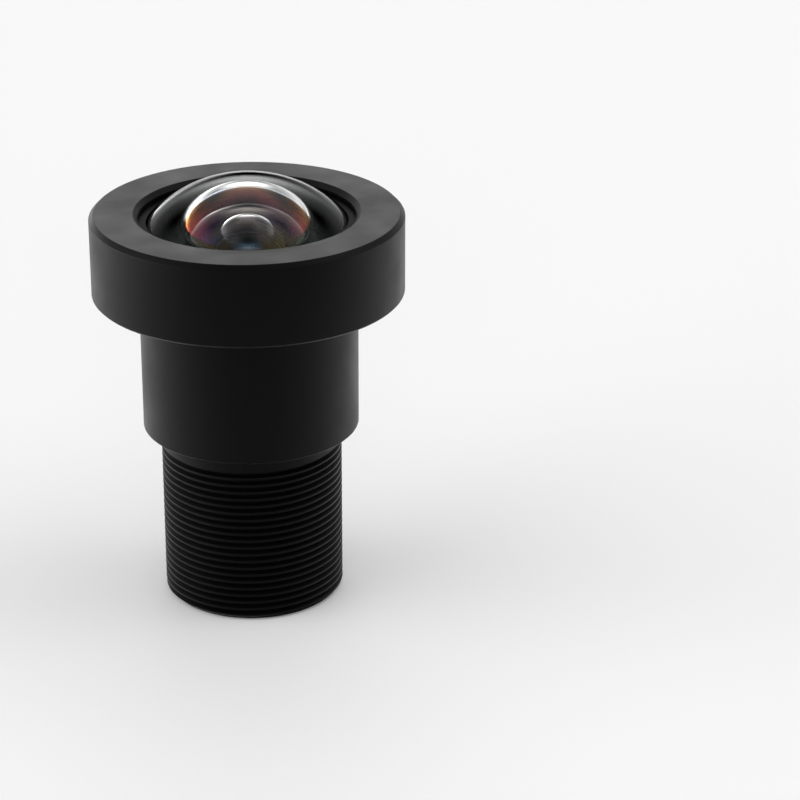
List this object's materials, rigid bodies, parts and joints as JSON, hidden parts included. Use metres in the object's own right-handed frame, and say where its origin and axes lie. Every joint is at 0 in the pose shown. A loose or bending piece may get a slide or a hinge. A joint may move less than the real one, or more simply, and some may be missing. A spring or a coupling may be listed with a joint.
{
  "type": "board camera lens",
  "caption": "Wide-angle board camera lens: threaded black barrel with a plain middle and a wide head, domed front glass over an inner glass stack, and an infrared filter at the rear.",
  "frame": {"origin": "centre of the barrel's rear rim, on the plane that the lens stands on", "axes": "+Z along the optical axis from the sensor end to the front glass; the lens is round about Z, and X runs through the spanner slots of both retaining rings"},
  "size_m": [0.0204, 0.0204, 0.0289],
  "materials": {
    "black_anodised": "matt black anodised, finely blasted",
    "blackened_rings": "dull black anodised",
    "coated_front_glass": "polished, with a multi-layer coating that reflects pink and green",
    "optical_glass": "polished and coated, ground and blackened at the edge",
    "filter_glass": "polished, with an infrared-cut coating that reflects red",
    "seal_rubber": "matt black",
    "shield_film": "matt black polyester film",
    "clear_adhesive": "clear amber cured adhesive"
  },
  "bodies": {
    "root": {"barrel": "black_anodised", "front_cap": "black_anodised", "front_o_ring": "seal_rubber", "front_element": "coated_front_glass", "front_light_shield": "shield_film", "front_group_ring": "blackened_rings", "second_element": "optical_glass", "front_spacer": "blackened_rings", "third_element": "optical_glass", "aperture_stop": "blackened_rings", "stop_spacer": "blackened_rings", "fourth_element": "optical_glass", "middle_spacer": "blackened_rings", "doublet_flint": "optical_glass", "doublet_crown": "optical_glass", "rear_spacer": "blackened_rings", "rear_element": "optical_glass", "rear_light_shield": "shield_film", "rear_retaining_ring": "blackened_rings", "ir_cut_filter": "filter_glass", "filter_adhesive": "clear_adhesive"}
  },
  "joints": []
}
